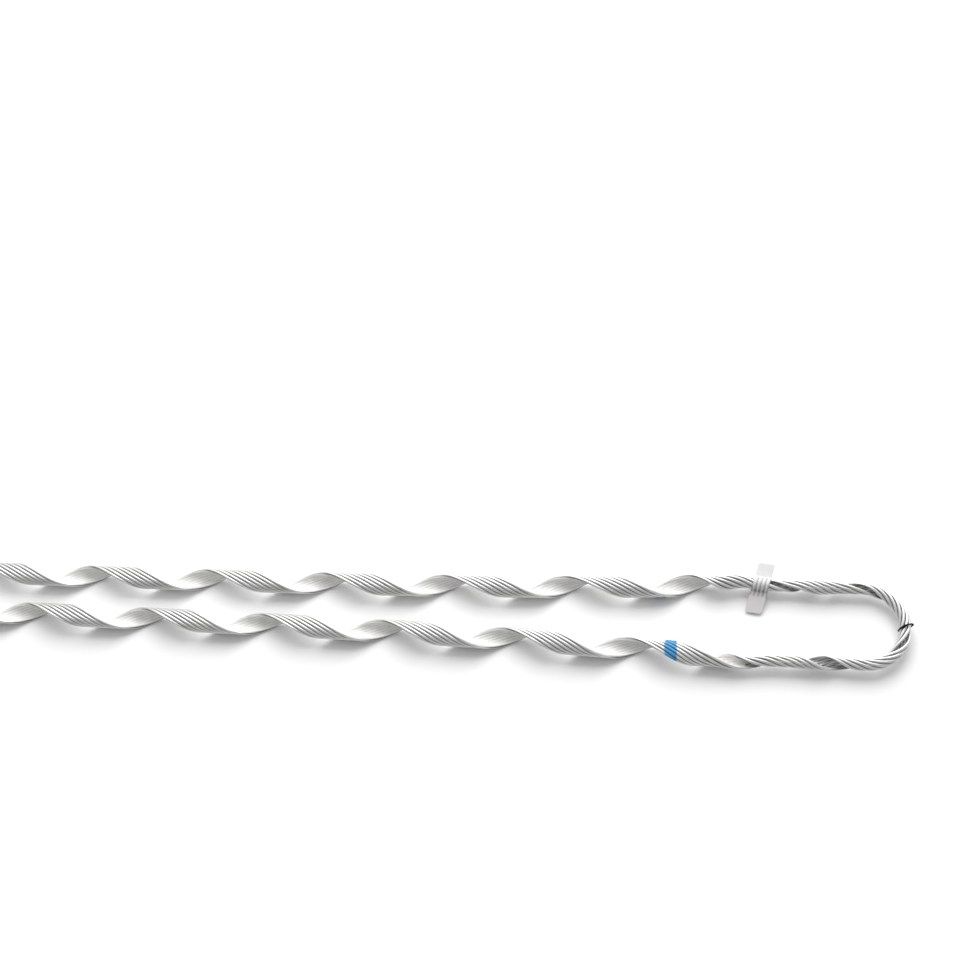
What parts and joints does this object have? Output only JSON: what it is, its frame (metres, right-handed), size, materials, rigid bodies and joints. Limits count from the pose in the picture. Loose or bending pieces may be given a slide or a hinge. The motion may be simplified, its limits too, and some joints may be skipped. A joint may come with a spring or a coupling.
{
  "type": "preformed dead end grip",
  "caption": "Open helical wire grip for ending an overhead cable: two formed legs that wrap the cable, joined by a cabled loop for a thimble or pin.",
  "frame": {"origin": "centre of the loop's round end, in the plane of the loop, where a pin or thimble sits", "axes": "+X from the legs to the tip of the loop, +Z square to the plane of the loop, +Y to the far leg, which carries the label"},
  "size_m": [0.7901, 0.0922, 0.0186],
  "materials": {
    "wire": "drawn and galvanised, bright satin, with a blue crossover mark painted on each leg",
    "lining": "pale grit bedded in adhesive, matt and rough",
    "label": "plain white film, its inner tail slightly translucent",
    "tie": "black, dull"
  },
  "bodies": {
    "root": {"wire_1": "wire", "wire_2": "wire", "wire_3": "wire", "wire_4": "wire", "wire_5": "wire", "wire_6": "wire", "wire_7": "wire", "near_leg_lining": "lining", "far_leg_lining": "lining", "flag_label": "label", "loop_tie": "tie"}
  },
  "joints": []
}
